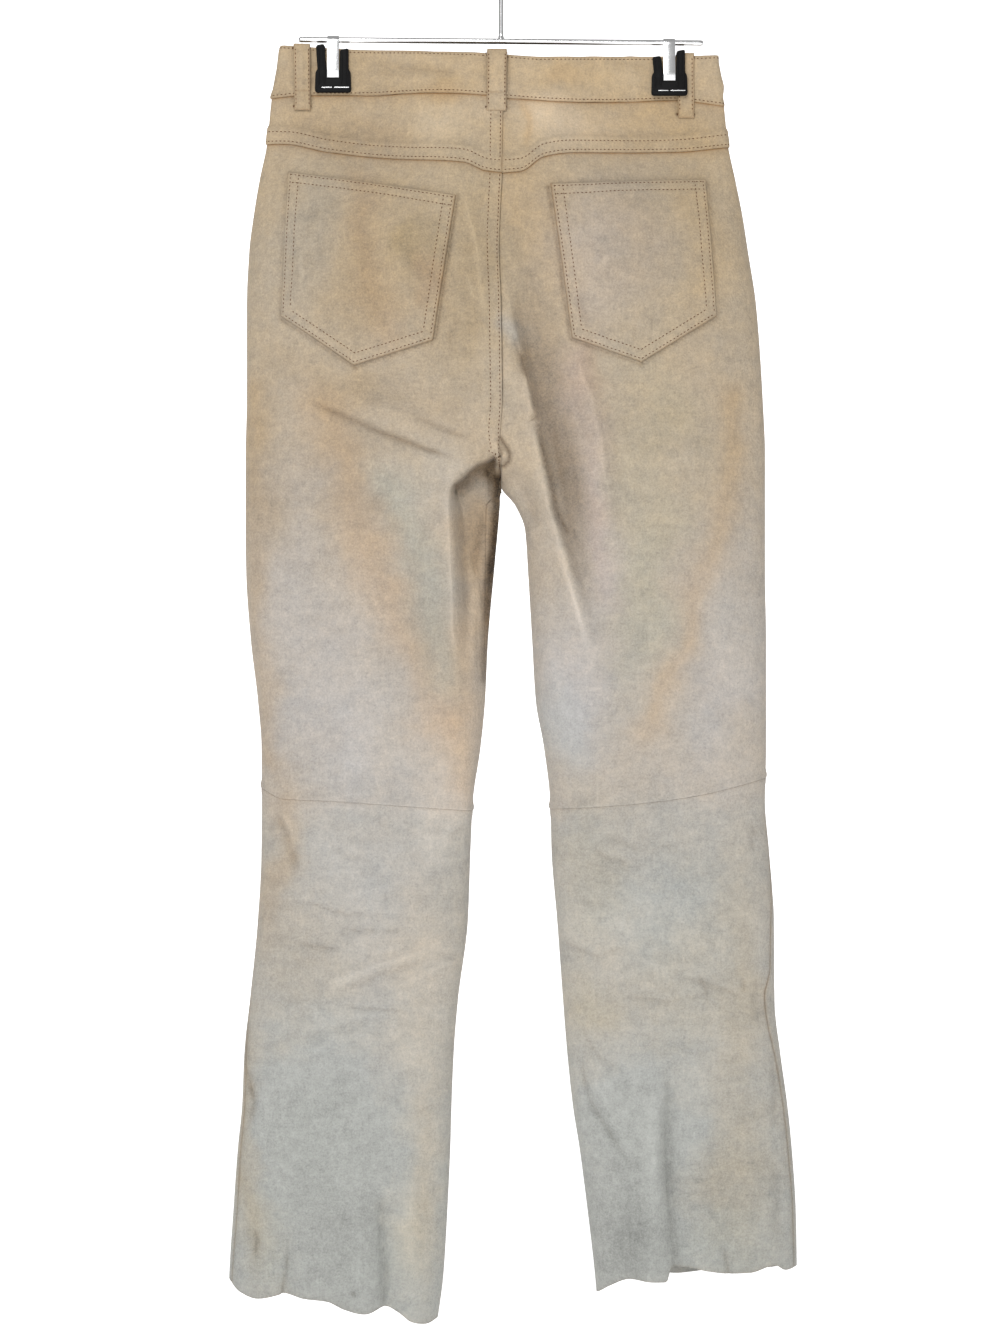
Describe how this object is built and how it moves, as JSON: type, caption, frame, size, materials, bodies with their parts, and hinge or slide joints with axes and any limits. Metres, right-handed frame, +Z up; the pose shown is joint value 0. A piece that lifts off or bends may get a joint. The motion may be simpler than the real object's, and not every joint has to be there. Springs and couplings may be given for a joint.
{
  "type": "bootcut trousers on a clip hanger",
  "caption": "Suede bootcut trousers hung by the waistband from the clips of a wire hanger, with back yokes, patch pockets, belt loops, knee seams and raw wavy hems.",
  "frame": {"origin": "the point inside the top of the hook's bend that bears on a rail", "axes": "+Z up along the garment's length, +Y out of its front, +X to the wearer's right"},
  "size_m": [0.4824, 0.0855, 1.186],
  "materials": {
    "suede": "matte napped suede",
    "zip_tape": "matte woven tape",
    "old_brass": "dull, worn",
    "clip_plastic": "satin black",
    "hanger_steel": "polished"
  },
  "bodies": {
    "root": {"waistband": "suede", "yoke_left": "suede", "back_upper_left": "suede", "back_lower_left": "suede", "front_upper_left": "suede", "front_lower_left": "suede", "pocket_left": "suede", "yoke_right": "suede", "back_upper_right": "suede", "back_lower_right": "suede", "front_upper_right": "suede", "front_lower_right": "suede", "pocket_right": "suede", "loop_back_left": "suede", "loop_back_centre": "suede", "loop_back_right": "suede", "loop_front_left": "suede", "loop_front_right": "suede", "fly_flap": "suede", "fly_zip": "zip_tape", "zip_slider": "old_brass", "waist_button": "old_brass", "clip_left_back_jaw": "clip_plastic", "clip_left_front_jaw": "clip_plastic", "clip_left_spring": "hanger_steel", "clip_right_back_jaw": "clip_plastic", "clip_right_front_jaw": "clip_plastic", "clip_right_spring": "hanger_steel", "hanger_frame": "hanger_steel"}
  },
  "joints": []
}
